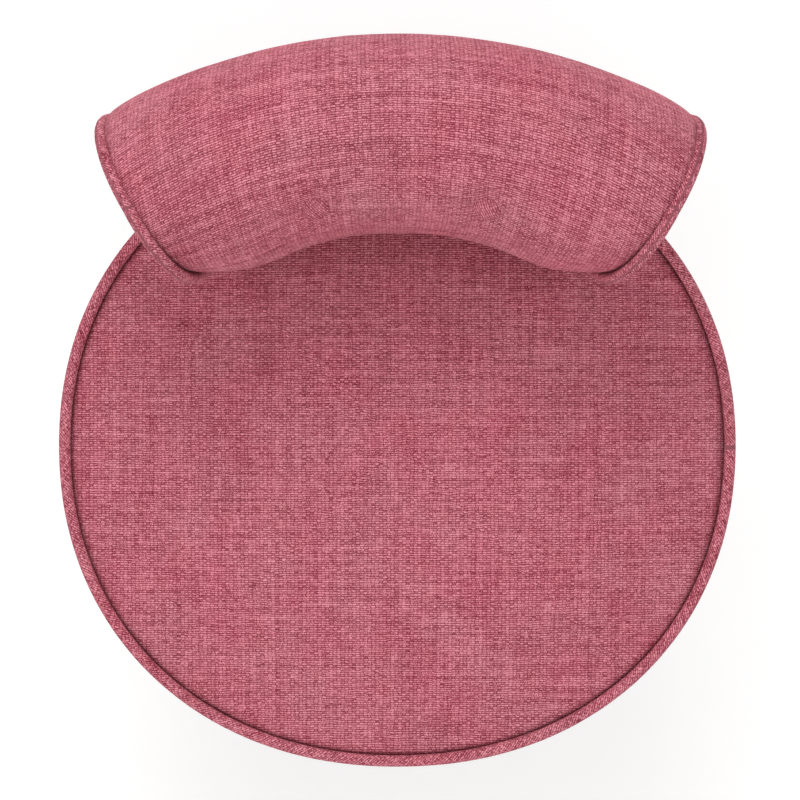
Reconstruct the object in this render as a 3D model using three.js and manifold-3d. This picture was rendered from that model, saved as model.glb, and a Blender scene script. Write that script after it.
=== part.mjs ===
// A small round swivel chair with a low curved back, upholstered all over in one fabric.
// Millimetres, +Z up. The sitter faces -Y. The origin is on the floor, under the middle of
// the chair's outline. Inside the chair group, x = y = 0 is the swivel's axis.
import * as THREE from 'three';
import { mergeVertices } from 'three/addons/utils/BufferGeometryUtils.js';
import Module from 'manifold-3d';

const wasm = await Module();
wasm.setup();

// Clearances
const GAP = 0.3; // between two pieces that touch
const SEAT_TO_BACK = 1.5; // between the seat's cover and the back that sits on it
const LAYER_CLEARANCE = 1; // between the curved layers of the back
const FRAME_CLEARANCE = 2.5; // round the timber inside the foam and the skins
const HOLE_CLEARANCE = 0.5; // between a bolt or pin and the wall of its hole

// Seat
const SEAT_WIDTH = 520; // over the welt
const SEAT_DEPTH = 494; // over the welt
const SEAT_SQUARENESS = 2.125; // superellipse exponent of the outline; 2 would be an ellipse
const SEAT_HEIGHT = 452; // floor to the middle of the seat's welt
const SEAT_CROWN = 26; // how far the middle of the seat stands above its welt
const SEAT_CROWN_POWER = 5; // flat in the middle, falling away near the rim
const SEAT_BAND_HEIGHT = 100; // from the welt's middle to the band's lower edge
const SEAT_BOARD = 18;
const DUST_COVER = 1;
const DUST_COVER_HOLE = 136; // radius, clear of the swivel's upper plate
const FABRIC = 1.6;
const WELT = 9; // diameter
const WELT_PROUD = 1.5; // how far the welt stands out past the band

// Back
const BACK_OVERHANG = 57; // from the seat's rearmost point to the back's rearmost point
const BACK_OUTER_RADIUS = 434; // plan radius of the outer face
const BACK_THICKNESS = 148; // outer face to inner face
const BACK_HALF_ANGLE = 30.5; // degrees, measured where the section is thickest
const BACK_CREST = 191; // above the seat's welt
const BACK_UNDERSIDE = 5; // above the seat's welt, where the section isn't cut to the seat
const BACK_LOWER_SQUARENESS = 3.2; // superellipse exponent of the section's lower half
const BACK_END_LEAN = 15; // degrees, how far each end leans outward
const BACK_FOAM = 20;
const BACK_SKIN = 3;
const END_PANEL = 6.5; // padded panel that closes each end of the back
const END_PANEL_RECESS = 2.5; // behind the outermost line of the welt
const FORMER = 15;
const RAIL_DEPTH = 48; // front to rear
const RAIL_HEIGHT = 24;
const LOWER_RAIL_RISE = 58; // underside of the lower rail above the seat's welt
const FORMER_WEB = 6; // timber left beside the upper rail's notch in the middle former
const BUTTON_DIAMETER = 24;
const BUTTON_HEIGHT = 7;
const BUTTON_SPACING = 124; // between the two buttons' centres
const BUTTON_SLOPE = 45; // degrees up the section's front shoulder

// Posts that carry the back, and their angle brackets
const POST_THICKNESS = 26; // front to rear
const POST_WIDTH = 40;
const POST_SPACING = 202; // between the two posts' centres
const POST_EDGE_DISTANCE = 30; // of the posts' middles in front of the seat's outline
const BRACKET_STEEL = 4;
const BRACKET_WIDTH = 34;
const BRACKET_HEIGHT = 46;
const BRACKET_FOOT = 45;
const BRACKET_BOLT = 8; // shank diameter
const BRACKET_BOLT_RISE = 28; // of the level bolt above the seat board
const BRACKET_BOLT_REACH = 28; // of the upright bolt in front of the post
const BRACKET_BOLT_BITE = 14; // shank in the timber
const BOLT_HEAD = 13; // across corners
const BOLT_HEAD_HEIGHT = 5;

// Swivel bearing
const PLATE_SIDE = 180;
const PLATE_CORNER = 16;
const PLATE_STEEL = 3;
const PLATE_SCREW_SPACING = 150;
const BALL = 8; // diameter
const BALL_COUNT = 8;
const RACE_RADIUS = 60;
const RACE_LIP = 2.5; // thickness of the raised lip beside the balls
const RACE_LIP_HEIGHT = 3;
const RACE_LIP_CLEARANCE = 2; // between a ball and a lip
const CAGE_WIDTH = 10;
const CAGE_THICKNESS = 1.6;
const PIVOT_RADIUS = 11.7; // outside of the sleeve that holds the two plates together
const PIVOT_BORE = 8; // radius
const PIVOT_FLANGE = 17; // radius
const PIVOT_FLANGE_THICKNESS = 1.8;
const PIVOT_WELL = 20; // radius of the holes in the boards round the sleeve's flanges
const SCREW_SHANK = 5; // diameter
const SCREW_HEAD = 12; // diameter
const SCREW_HEAD_HEIGHT = 3;
const SCREW_BITE = 14; // shank in the board

// Base and legs
const BASE_RADIUS = 165;
const BASE_BOARD = 22;
const BASE_CHAMFER = 4;
const LEG_TOP_DIAMETER = 38;
const LEG_FOOT_DIAMETER = 24;
const LEG_TOP_RADIUS = 122; // of the leg tops from the swivel's axis
const LEG_SPLAY = 14; // degrees from upright
const LEG_PLATE_SIDE = 62;
const LEG_PLATE_STEEL = 3;
const LEG_SCREW_SPACING = 46;
const LEG_SCREW_HOLE = 5; // diameter
const HANGER_BOLT = 8; // diameter
const HANGER_IN_LEG = 45;
const HANGER_IN_BASE = 14;
const GLIDE_DIAMETER = 23;
const GLIDE_HEIGHT = 6;
const GLIDE_CHAMFER = 1.5;
const GLIDE_PIN = 4; // diameter
const GLIDE_PIN_LENGTH = 12;

// Steps round the curved pieces
const SEAT_STEPS = 40;
const BACK_STEPS = 8;
const SECTION_STEPS = 20;
const WELT_STEPS = 8;
const ROUND_STEPS = 20;
const SMALL_ROUND_STEPS = 8;

// Levels of the stack, from the floor up
const seatBottom = SEAT_HEIGHT - SEAT_BAND_HEIGHT;
const boardBottom = seatBottom + DUST_COVER + GAP;
const boardTop = boardBottom + SEAT_BOARD;
const upperPlateTop = boardBottom - GAP;
const upperPlateBottom = upperPlateTop - PLATE_STEEL;
const ballCentre = upperPlateBottom - GAP - BALL / 2;
const lowerPlateTop = ballCentre - BALL / 2 - GAP;
const lowerPlateBottom = lowerPlateTop - PLATE_STEEL;
const baseTop = lowerPlateBottom - GAP;
const baseBottom = baseTop - BASE_BOARD;
const legPlateTop = baseBottom - GAP;
const legPlateBottom = legPlateTop - LEG_PLATE_STEEL;
const legTop = legPlateBottom - GAP;
const legBottom = GLIDE_HEIGHT + GAP;

// Plan and section values that follow from the sizes above
const seatHalfWidth = SEAT_WIDTH / 2;
const seatHalfDepth = SEAT_DEPTH / 2;
const weltRadius = WELT / 2;
const bandRadius = seatHalfWidth - WELT_PROUD;
const insideBand = bandRadius - FABRIC - GAP;
const insideWelt = seatHalfWidth - WELT - GAP;
const backRear = seatHalfDepth + BACK_OVERHANG;
const arcCentreY = backRear - BACK_OUTER_RADIUS;
const halfThickness = BACK_THICKNESS / 2;
const arcRadius = BACK_OUTER_RADIUS - halfThickness;
const shoulderRise = BACK_CREST - halfThickness; // where the section is thickest
const lowerHalfHeight = shoulderRise - BACK_UNDERSIDE;
const foamInset = FABRIC + LAYER_CLEARANCE;
const skinInset = foamInset + BACK_FOAM + LAYER_CLEARANCE;
const frameInset = skinInset + BACK_SKIN + FRAME_CLEARANCE;
const formerRadius = halfThickness - frameInset; // of the formers' round tops
const upperNotchHalf = RAIL_DEPTH / 2 + FRAME_CLEARANCE + FORMER_WEB;
const upperRailRise =
  shoulderRise + Math.sqrt(formerRadius ** 2 - upperNotchHalf ** 2) - FRAME_CLEARANCE - RAIL_HEIGHT;
const sleeveEnd = WELT + GAP; // distance of the cover's end from the outermost line of the welt
const rowCentreY = (backRear - seatHalfDepth) / 2;

const material = (colour, roughness, metalness = 0) =>
  new THREE.MeshStandardMaterial({ color: colour, roughness, metalness });
const fabric = material('#b86976', 0.9);
const lining = material('#1d1c1c', 0.95);
const foam = material('#e6dcc0', 0.95);
const card = material('#a98a63', 0.9);
const plywood = material('#c8a878', 0.7);
const hardwood = material('#b58d5c', 0.6);
const walnut = material('#5b3a24', 0.45);
const steel = material('#a9abad', 0.35, 1);
const blackSteel = material('#232426', 0.5, 0.8);
const glidePlastic = material('#2a2a2b', 0.6);

// ---- Geometry helpers ----

function manifoldOf(geometry) {
  const bare = geometry.clone();
  bare.deleteAttribute('normal');
  bare.deleteAttribute('uv');
  const merged = mergeVertices(bare, 1e-3);
  return new wasm.Manifold(new wasm.Mesh({
    numProp: 3,
    vertProperties: new Float32Array(merged.attributes.position.array),
    triVerts: new Uint32Array(merged.index.array),
  }));
}

function geometryOf(manifold) {
  const mesh = manifold.getMesh();
  const geometry = new THREE.BufferGeometry();
  geometry.setAttribute('position', new THREE.BufferAttribute(mesh.vertProperties, 3));
  geometry.setIndex(new THREE.BufferAttribute(mesh.triVerts, 1));
  geometry.computeVertexNormals();
  return geometry;
}

const cut = (geometry, ...tools) =>
  geometryOf(tools.reduce((rest, tool) => rest.subtract(manifoldOf(tool)), manifoldOf(geometry)));
const join = (geometry, ...others) =>
  geometryOf(others.reduce((sum, other) => sum.add(manifoldOf(other)), manifoldOf(geometry)));

// Moves every vertex of a geometry to where place(x, y, z) says.
function reshape(geometry, place) {
  const position = geometry.attributes.position;
  for (let i = 0; i < position.count; i += 1) {
    const [x, y, z] = place(position.getX(i), position.getY(i), position.getZ(i));
    position.setXYZ(i, x, y, z);
  }
  return geometry;
}

// A solid of revolution about +Z from [radius, height] pairs that run upward on the outside.
function turned(profile, steps = ROUND_STEPS) {
  const points = profile.map(([radius, height]) => new THREE.Vector2(radius, height));
  return new THREE.LatheGeometry(points, steps).rotateX(Math.PI / 2);
}

const ringProfile = (inner, outer, bottom, top) =>
  [[inner, bottom], [outer, bottom], [outer, top], [inner, top], [inner, bottom]];
const discProfile = (radius, bottom, top) => [[0, bottom], [radius, bottom], [radius, top], [0, top]];

// A round drill along +Z, for holes.
const drill = (radius, bottom, top, x = 0, y = 0) =>
  turned(discProfile(radius, bottom, top), SMALL_ROUND_STEPS).translate(x, y, 0);

// A box from its lowest and highest corners.
function block([x0, y0, z0], [x1, y1, z1]) {
  const box = new THREE.BoxGeometry(x1 - x0, y1 - y0, z1 - z0);
  return box.translate((x0 + x1) / 2, (y0 + y1) / 2, (z0 + z1) / 2);
}

const corners = (spacing) =>
  [[1, 1], [-1, 1], [-1, -1], [1, -1]].map(([sx, sy]) => [sx * spacing / 2, sy * spacing / 2]);

function add(group, name, geometry, look) {
  const mesh = new THREE.Mesh(geometry, look);
  mesh.name = name;
  group.add(mesh);
  return mesh;
}

// ---- Seat outline: a solid turned about the axis, then stretched to the superellipse ----

function seatReach(angle) {
  const along = Math.abs(Math.cos(angle) / seatHalfWidth) ** SEAT_SQUARENESS;
  const across = Math.abs(Math.sin(angle) / seatHalfDepth) ** SEAT_SQUARENESS;
  return (along + across) ** (-1 / SEAT_SQUARENESS);
}

const seatTurned = (profile) =>
  reshape(turned(profile, SEAT_STEPS), (x, y, z) => {
    const stretch = seatReach(Math.atan2(y, x)) / seatHalfWidth;
    return [x * stretch, y * stretch, z];
  });

// Height of the crowned seat above the floor at a radius.
const crownAt = (radius) =>
  SEAT_HEIGHT + SEAT_CROWN * (1 - (radius / insideWelt) ** SEAT_CROWN_POWER);
const crownStations = [1, 0.93, 0.84, 0.72, 0.5].map((share) => share * insideWelt);

function seatFoam() {
  const sink = FABRIC + GAP;
  const shoulder = SEAT_HEIGHT - weltRadius - GAP;
  const top = crownStations.map((radius) => [radius - GAP, crownAt(radius) - sink]);
  const solid = seatTurned([
    [0, boardTop + GAP],
    [insideBand, boardTop + GAP],
    [insideBand, shoulder],
    [insideWelt - GAP, shoulder],
    ...top,
    [0, crownAt(0) - sink],
  ]);
  return cut(solid, ...postPlaces.flatMap((place) => [
    postWay().applyMatrix4(place),
    bracketPocket().applyMatrix4(place),
  ]));
}

function seatCover() {
  const outer = crownStations.map((radius) => [radius, crownAt(radius)]);
  const inner = [...crownStations].reverse().map((radius) => [radius, crownAt(radius) - FABRIC]);
  const solid = seatTurned([
    [0, crownAt(0) - FABRIC],
    ...inner,
    ...outer,
    [0, crownAt(0)],
  ]);
  return cut(solid, ...postPlaces.map((place) => postWay().applyMatrix4(place)));
}

const seatBand = () =>
  seatTurned(ringProfile(
    bandRadius - FABRIC, bandRadius, seatBottom, SEAT_HEIGHT - weltRadius - GAP));

function seatWelt() {
  const profile = Array.from({ length: WELT_STEPS + 1 }, (_, i) => {
    const angle = 2 * Math.PI * i / WELT_STEPS;
    return [
      seatHalfWidth - weltRadius + weltRadius * Math.cos(angle),
      SEAT_HEIGHT + weltRadius * Math.sin(angle),
    ];
  });
  return seatTurned(profile);
}

function seatBoard() {
  const biteBottom = boardTop - BRACKET_BOLT_BITE - GAP;
  const holeRadius = BRACKET_BOLT / 2 + HOLE_CLEARANCE;
  const solid = seatTurned(discProfile(insideBand, boardBottom, boardTop));
  return cut(
    solid,
    drill(PIVOT_WELL, boardBottom - 1, boardTop + 1),
    ...corners(PLATE_SCREW_SPACING).map(([x, y]) =>
      drill(SCREW_SHANK / 2 + HOLE_CLEARANCE, boardBottom - 1, boardBottom + SCREW_BITE, x, y)),
    ...postPlaces.map((place) =>
      drill(holeRadius, biteBottom, boardTop + 1, 0, bracketBoltY).applyMatrix4(place)),
  );
}

const dustCover = () =>
  seatTurned(ringProfile(DUST_COVER_HOLE, insideBand, seatBottom, seatBottom + DUST_COVER));

// ---- Posts and brackets, drawn with the post's middle at x = y = 0 and the front at -Y ----

const postX = POST_SPACING / 2;
const outlineY = seatHalfDepth
  * (1 - (postX / seatHalfWidth) ** SEAT_SQUARENESS) ** (1 / SEAT_SQUARENESS);
const postY = outlineY - POST_EDGE_DISTANCE;
const postAngle = Math.atan2(postX, postY - arcCentreY);
const postPlaces = [-1, 1].map((side) =>
  new THREE.Matrix4()
    .makeTranslation(side * postX, postY, 0)
    .multiply(new THREE.Matrix4().makeRotationZ(-side * postAngle)));
const postTop = SEAT_HEIGHT + upperRailRise + RAIL_HEIGHT;
const postBottom = boardTop + GAP;
const postFront = -POST_THICKNESS / 2;
const bracketFace = postFront - GAP;
const bracketBoltY = bracketFace - BRACKET_BOLT_REACH;

function post() {
  const solid = block(
    [-POST_WIDTH / 2, postFront, postBottom],
    [POST_WIDTH / 2, POST_THICKNESS / 2, postTop]);
  return cut(solid, levelDrill(postFront - 1, postFront + BRACKET_BOLT_BITE + GAP));
}

// The room that every piece round a post leaves for it.
const postWay = () =>
  block(
    [-POST_WIDTH / 2 - FRAME_CLEARANCE, postFront - FRAME_CLEARANCE, postBottom - 1],
    [POST_WIDTH / 2 + FRAME_CLEARANCE, POST_THICKNESS / 2 + FRAME_CLEARANCE, postTop + 1]);

// The hollow on the foam's underside for the bracket and its bolt heads.
const bracketPocket = () =>
  block(
    [
      -BRACKET_WIDTH / 2 - FRAME_CLEARANCE,
      bracketFace - BRACKET_FOOT - FRAME_CLEARANCE,
      boardTop - 1,
    ],
    [
      BRACKET_WIDTH / 2 + FRAME_CLEARANCE,
      postFront,
      postBottom + BRACKET_HEIGHT + FRAME_CLEARANCE,
    ]);

// A drill along Y through the bracket's upright leg, at the level bolt's height.
const levelDrill = (from, to) =>
  new THREE.CylinderGeometry(
    BRACKET_BOLT / 2 + HOLE_CLEARANCE, BRACKET_BOLT / 2 + HOLE_CLEARANCE, to - from, SMALL_ROUND_STEPS)
    .translate(0, (from + to) / 2, postBottom + BRACKET_BOLT_RISE);

function bracket() {
  const upright = block(
    [-BRACKET_WIDTH / 2, bracketFace - BRACKET_STEEL, postBottom],
    [BRACKET_WIDTH / 2, bracketFace, postBottom + BRACKET_HEIGHT]);
  const foot = block(
    [-BRACKET_WIDTH / 2, bracketFace - BRACKET_FOOT, postBottom],
    [BRACKET_WIDTH / 2, bracketFace, postBottom + BRACKET_STEEL]);
  const holeRadius = BRACKET_BOLT / 2 + HOLE_CLEARANCE;
  return cut(
    join(upright, foot),
    levelDrill(bracketFace - BRACKET_FOOT, bracketFace + 1),
    drill(holeRadius, postBottom - 1, postBottom + BRACKET_STEEL + 1, 0, bracketBoltY),
  );
}

// A hex-headed bolt whose head stands on z = 0 and whose shank points down.
function hexBolt(length) {
  const shank = drill(BRACKET_BOLT / 2, -length, 1);
  const head = turned(discProfile(BOLT_HEAD / 2, GAP, BOLT_HEAD_HEIGHT), 6);
  return join(shank, head);
}

const boltLength = BRACKET_STEEL + GAP + BRACKET_BOLT_BITE;
const uprightBolt = () =>
  hexBolt(boltLength).translate(0, bracketBoltY, postBottom + BRACKET_STEEL);
const levelBolt = () =>
  hexBolt(boltLength).rotateX(Math.PI / 2)
    .translate(0, bracketFace - BRACKET_STEEL, postBottom + BRACKET_BOLT_RISE);

// ---- Back: a section of [outward, up] points, swept round the arc ----

// The section's outline at an angle round it, moved inward by inset.
function sectionPoint(angle, inset) {
  const cosine = Math.cos(angle);
  const sine = Math.sin(angle);
  const reach = halfThickness - inset;
  if (sine >= 0) {
    return [reach * cosine, shoulderRise + reach * sine];
  }
  const power = 2 / BACK_LOWER_SQUARENESS;
  return [
    Math.sign(cosine) * reach * Math.abs(cosine) ** power,
    shoulderRise - (lowerHalfHeight - inset) * Math.abs(sine) ** power,
  ];
}

const sectionLoop = (inset) =>
  Array.from({ length: SECTION_STEPS }, (_, i) =>
    new THREE.Vector2(...sectionPoint(2 * Math.PI * i / SECTION_STEPS, inset)));

const endAngle = THREE.MathUtils.degToRad(BACK_HALF_ANGLE);

// How far the leaning end stands out, at a height, past an upright end.
const leanAt = (rise) =>
  (rise - shoulderRise) * Math.tan(THREE.MathUtils.degToRad(BACK_END_LEAN));

// A point of the section standing at an angle round the arc, moved sideways by shift.
const onArc = (outward, rise, angle, shift = 0) => [
  (arcRadius + outward) * Math.sin(angle) + shift * Math.cos(angle),
  arcCentreY + (arcRadius + outward) * Math.cos(angle) - shift * Math.sin(angle),
  SEAT_HEIGHT + rise,
];

// Sweeps a section shape from end to end, stopping short of each end's outermost line.
function swept(shape, short, steps = BACK_STEPS) {
  const straight = new THREE.ExtrudeGeometry(shape, { depth: 2, steps, bevelEnabled: false });
  return reshape(straight, (outward, rise, along) => {
    const share = along - 1;
    return onArc(outward, rise, share * endAngle, share * (leanAt(rise) - short));
  });
}

// Moves a flat piece to the right-hand end: its top face lies short of the end's outermost line.
const atRightEnd = (geometry, thickness, short) =>
  reshape(geometry, (outward, rise, along) =>
    onArc(outward, rise, endAngle, leanAt(rise) - short - thickness + along));

function hollowSection(outerInset, innerInset) {
  const shape = new THREE.Shape(sectionLoop(outerInset));
  shape.holes.push(new THREE.Path(sectionLoop(innerInset).reverse()));
  return shape;
}

const withPostWays = (geometry) =>
  cut(geometry, ...postPlaces.map((place) => postWay().applyMatrix4(place)));

// The crowned seat with its welt, grown by the clearance that the back keeps to it.
function seatRoom() {
  const crown = crownStations.map((radius) => [radius, crownAt(radius) + SEAT_TO_BACK]);
  const reach = seatHalfWidth + SEAT_TO_BACK;
  const rim = SEAT_HEIGHT + weltRadius + SEAT_TO_BACK;
  return seatTurned([
    [0, seatBottom],
    [reach, seatBottom],
    [reach, rim],
    ...crown.filter(([, height]) => height > rim),
    [0, crownAt(0) + SEAT_TO_BACK],
  ]);
}

const fittedToSeat = (geometry) => cut(geometry, seatRoom());

const backCover = () =>
  withPostWays(fittedToSeat(swept(hollowSection(0, FABRIC), sleeveEnd)));
const backFoam = () =>
  withPostWays(fittedToSeat(swept(hollowSection(foamInset, foamInset + BACK_FOAM), sleeveEnd)));
const backSkin = () =>
  withPostWays(swept(hollowSection(skinInset, skinInset + BACK_SKIN), sleeveEnd));

const formerShort = sleeveEnd;
const railShort = formerShort + FORMER + GAP;

function endFormer() {
  const shape = new THREE.Shape(sectionLoop(frameInset));
  const flat = new THREE.ExtrudeGeometry(shape, { depth: FORMER, bevelEnabled: false });
  return atRightEnd(flat, FORMER, formerShort);
}

function railShape(rise, clearance = 0) {
  const shape = new THREE.Shape();
  const half = RAIL_DEPTH / 2 + clearance;
  shape.moveTo(-half, rise - clearance);
  shape.lineTo(half, rise - clearance);
  shape.lineTo(half, rise + RAIL_HEIGHT + clearance);
  shape.lineTo(-half, rise + RAIL_HEIGHT + clearance);
  return shape;
}

const rail = (rise) => withPostWays(swept(railShape(rise), railShort));

// The middle former stands between the rails' posts, and both rails run through it.
function middleFormer() {
  const shape = new THREE.Shape(sectionLoop(frameInset));
  const flat = new THREE.ExtrudeGeometry(shape, { depth: FORMER, bevelEnabled: false });
  const solid = reshape(flat, (outward, rise, along) =>
    onArc(outward, rise, (along - FORMER / 2) / arcRadius));
  return cut(
    solid,
    swept(railShape(LOWER_RAIL_RISE, FRAME_CLEARANCE), railShort),
    swept(railShape(upperRailRise, FRAME_CLEARANCE), railShort),
  );
}

function endPanel() {
  const shape = new THREE.Shape(sectionLoop(WELT + 2 * GAP));
  const flat = new THREE.ExtrudeGeometry(shape, { depth: END_PANEL, bevelEnabled: false });
  return fittedToSeat(atRightEnd(flat, END_PANEL, END_PANEL_RECESS));
}

// A ring of welt, bent from a circle to the section's outline at the end of the back.
function endWelt() {
  const circle = arcRadius;
  const torus = new THREE.TorusGeometry(circle, weltRadius, WELT_STEPS, SECTION_STEPS);
  const bent = reshape(torus, (x, y, z) => {
    const outward = Math.hypot(x, y) - circle;
    return [...sectionPoint(Math.atan2(y, x), weltRadius - outward), z + weltRadius];
  });
  return fittedToSeat(atRightEnd(bent, WELT, 0));
}

const button = () =>
  turned([
    [0, 0],
    [BUTTON_DIAMETER * 0.42, 0],
    [BUTTON_DIAMETER / 2, BUTTON_HEIGHT * 0.35],
    [BUTTON_DIAMETER * 0.4, BUTTON_HEIGHT * 0.8],
    [0, BUTTON_HEIGHT],
  ]);

function placeButton(mesh, side) {
  const slope = THREE.MathUtils.degToRad(180 - BUTTON_SLOPE);
  const [outward, rise] = sectionPoint(slope, -2 * GAP);
  const angle = Math.asin(side * BUTTON_SPACING / 2 / (arcRadius + outward));
  mesh.position.set(...onArc(outward, rise, angle));
  const facing = new THREE.Vector3(
    Math.cos(slope) * Math.sin(angle), Math.cos(slope) * Math.cos(angle), Math.sin(slope));
  mesh.quaternion.setFromUnitVectors(new THREE.Vector3(0, 0, 1), facing);
}

// ---- Swivel bearing ----

function roundedSquare(side, radius) {
  const half = side / 2;
  const shape = new THREE.Shape();
  shape.absarc(half - radius, half - radius, radius, 0, Math.PI / 2);
  shape.absarc(radius - half, half - radius, radius, Math.PI / 2, Math.PI);
  shape.absarc(radius - half, radius - half, radius, Math.PI, 1.5 * Math.PI);
  shape.absarc(half - radius, radius - half, radius, 1.5 * Math.PI, 2 * Math.PI);
  return shape;
}

function squarePlate(side, radius, steel, bottom) {
  return new THREE.ExtrudeGeometry(
    roundedSquare(side, radius), { depth: steel, bevelEnabled: false, curveSegments: 4 })
    .translate(0, 0, bottom);
}

function swivelPlate(bottom, lip) {
  const holeRadius = SCREW_SHANK / 2 + HOLE_CLEARANCE;
  const top = bottom + PLATE_STEEL;
  const plate = join(squarePlate(PLATE_SIDE, PLATE_CORNER, PLATE_STEEL, bottom), lip);
  return cut(
    plate,
    turned(discProfile(PIVOT_RADIUS + HOLE_CLEARANCE, bottom - 1, top + 1)),
    ...corners(PLATE_SCREW_SPACING).map(([x, y]) => drill(holeRadius, bottom - 1, top + 1, x, y)),
  );
}

function lowerPlate() {
  const inside = RACE_RADIUS + BALL / 2 + RACE_LIP_CLEARANCE;
  const lip = turned(ringProfile(
    inside, inside + RACE_LIP, lowerPlateTop - 1, lowerPlateTop + RACE_LIP_HEIGHT));
  return swivelPlate(lowerPlateBottom, lip);
}

function upperPlate() {
  const outside = RACE_RADIUS - BALL / 2 - RACE_LIP_CLEARANCE;
  const lip = turned(ringProfile(
    outside - RACE_LIP, outside, upperPlateBottom - RACE_LIP_HEIGHT, upperPlateBottom + 1));
  return swivelPlate(upperPlateBottom, lip);
}

function ballCage() {
  const ring = turned(ringProfile(
    RACE_RADIUS - CAGE_WIDTH / 2, RACE_RADIUS + CAGE_WIDTH / 2,
    ballCentre - CAGE_THICKNESS / 2, ballCentre + CAGE_THICKNESS / 2), 2 * BALL_COUNT);
  const balls = Array.from({ length: BALL_COUNT }, (_, i) => {
    const angle = 2 * Math.PI * i / BALL_COUNT;
    return new THREE.SphereGeometry(BALL / 2, 8, 6)
      .rotateX(Math.PI / 2)
      .translate(RACE_RADIUS * Math.cos(angle), RACE_RADIUS * Math.sin(angle), ballCentre);
  });
  return join(ring, ...balls);
}

function pivotSleeve() {
  const low = lowerPlateBottom - GAP;
  const high = upperPlateTop + GAP;
  return turned([
    [PIVOT_BORE, low - PIVOT_FLANGE_THICKNESS],
    [PIVOT_FLANGE, low - PIVOT_FLANGE_THICKNESS],
    [PIVOT_FLANGE, low],
    [PIVOT_RADIUS, low],
    [PIVOT_RADIUS, high],
    [PIVOT_FLANGE, high],
    [PIVOT_FLANGE, high + PIVOT_FLANGE_THICKNESS],
    [PIVOT_BORE, high + PIVOT_FLANGE_THICKNESS],
    [PIVOT_BORE, low - PIVOT_FLANGE_THICKNESS],
  ]);
}

// A pan-headed screw whose head stands on z = 0 and whose shank points down.
const panScrew = () =>
  turned([
    [0, -PLATE_STEEL - GAP - SCREW_BITE + 1],
    [SCREW_SHANK / 2, -PLATE_STEEL - GAP - SCREW_BITE + 3],
    [SCREW_SHANK / 2, GAP],
    [SCREW_HEAD / 2, GAP],
    [SCREW_HEAD * 0.42, SCREW_HEAD_HEIGHT],
    [0, SCREW_HEAD_HEIGHT],
  ], SMALL_ROUND_STEPS);

// ---- Base and legs, each leg drawn with its top's middle at x = y = 0 and leaning out to +X ----

const splay = Math.tan(THREE.MathUtils.degToRad(LEG_SPLAY));
const leaned = (geometry) =>
  reshape(geometry, (x, y, z) => [x + (legTop - z) * splay, y, z]);
const legAngles = [-45, 45, 135, 225].map(THREE.MathUtils.degToRad);
const footReach = LEG_TOP_RADIUS + (legTop - legBottom) * splay;

function leg() {
  const footRadius = LEG_FOOT_DIAMETER / 2;
  const topRadius = LEG_TOP_DIAMETER / 2;
  const solid = leaned(turned([
    [0, legBottom],
    [footRadius - 1, legBottom],
    [footRadius, legBottom + 2],
    [footRadius + (topRadius - footRadius) * 0.85, legTop - 60],
    [topRadius, legTop - 20],
    [topRadius, legTop],
    [0, legTop],
  ], 16));
  const footX = footReach - LEG_TOP_RADIUS;
  return cut(
    solid,
    leaned(drill(HANGER_BOLT / 2 + HOLE_CLEARANCE, legTop - HANGER_IN_LEG - 1, legTop + 1)),
    drill(GLIDE_PIN / 2 + HOLE_CLEARANCE, legBottom - 1, legBottom + GLIDE_PIN_LENGTH + 1, footX),
  );
}

function legPlate() {
  const solid = squarePlate(LEG_PLATE_SIDE, LEG_PLATE_STEEL * 2, LEG_PLATE_STEEL, legPlateBottom);
  return cut(
    solid,
    leaned(drill(HANGER_BOLT / 2 + HOLE_CLEARANCE, legPlateBottom - 1, legPlateTop + 1)),
    ...corners(LEG_SCREW_SPACING).map(([x, y]) =>
      drill(LEG_SCREW_HOLE / 2, legPlateBottom - 1, legPlateTop + 1, x, y)),
  );
}

const hangerBolt = () =>
  leaned(drill(HANGER_BOLT / 2, legTop - HANGER_IN_LEG, baseBottom + HANGER_IN_BASE));

function baseBoard() {
  const solid = turned([
    [0, baseBottom],
    [BASE_RADIUS - BASE_CHAMFER, baseBottom],
    [BASE_RADIUS, baseBottom + BASE_CHAMFER],
    [BASE_RADIUS, baseTop - BASE_CHAMFER],
    [BASE_RADIUS - BASE_CHAMFER, baseTop],
    [0, baseTop],
  ], 2 * ROUND_STEPS);
  const hangerHole = () =>
    leaned(drill(
      HANGER_BOLT / 2 + HOLE_CLEARANCE, baseBottom - 1, baseBottom + HANGER_IN_BASE + 1));
  return cut(
    solid,
    drill(PIVOT_WELL, baseBottom - 1, baseTop + 1),
    ...corners(PLATE_SCREW_SPACING).map(([x, y]) =>
      drill(SCREW_SHANK / 2 + HOLE_CLEARANCE, baseTop - SCREW_BITE, baseTop + 1, x, y)),
    ...legAngles.map((angle) => hangerHole().translate(LEG_TOP_RADIUS, 0, 0).rotateZ(angle)),
  );
}

const glide = () =>
  turned([
    [0, 0],
    [GLIDE_DIAMETER / 2 - GLIDE_CHAMFER, 0],
    [GLIDE_DIAMETER / 2, GLIDE_CHAMFER],
    [GLIDE_DIAMETER / 2, GLIDE_HEIGHT],
    [GLIDE_PIN / 2, GLIDE_HEIGHT],
    [GLIDE_PIN / 2, GLIDE_HEIGHT + GLIDE_PIN_LENGTH],
    [0, GLIDE_HEIGHT + GLIDE_PIN_LENGTH],
  ], 16);

// ---- Assembly ----

const chair = new THREE.Group();
chair.position.y = -rowCentreY;
const base = new THREE.Group();
const bearing = new THREE.Group();
const seat = new THREE.Group();
const back = new THREE.Group();
seat.add(back);
chair.add(base, bearing, seat);

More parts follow.
